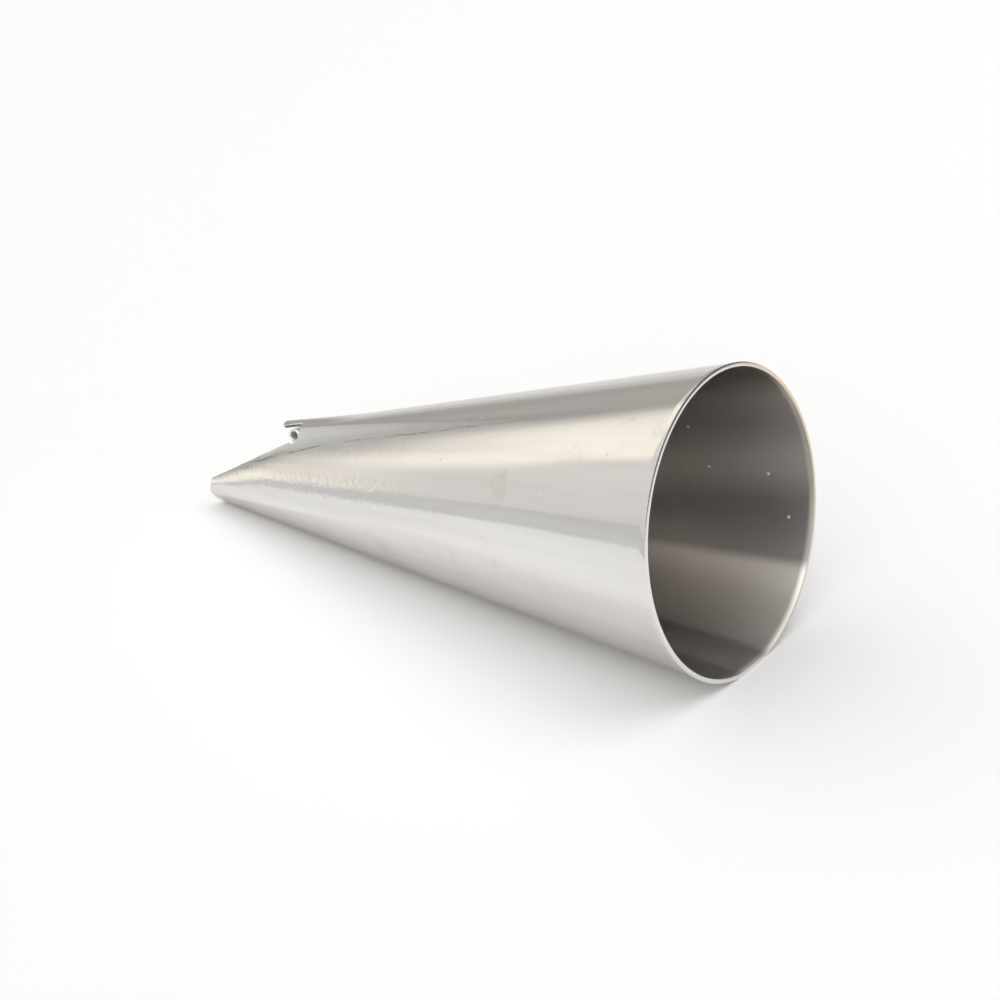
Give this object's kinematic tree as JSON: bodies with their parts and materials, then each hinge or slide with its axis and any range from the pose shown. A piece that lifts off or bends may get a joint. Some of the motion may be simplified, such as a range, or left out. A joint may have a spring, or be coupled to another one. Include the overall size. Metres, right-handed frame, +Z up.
{
  "type": "piping nozzle",
  "caption": "Small metal piping nozzle lying on its side: a cone of thin sheet pressed at its narrow end into a slanted, flat-sided mouth.",
  "frame": {"origin": "centre of the underside of the bounding box, on the surface that the nozzle lies on", "axes": "+Z up; the nozzle lies on its side with its mouth towards -X and its open wide rim towards +X, turned ten degrees about its own axis, and rests along its lowest line"},
  "size_m": [0.0372, 0.018, 0.0176],
  "materials": {
    "nozzle_body": "polished drawn stainless sheet with fine wear"
  },
  "bodies": {
    "root": {"nozzle_body": "nozzle_body"}
  },
  "joints": []
}
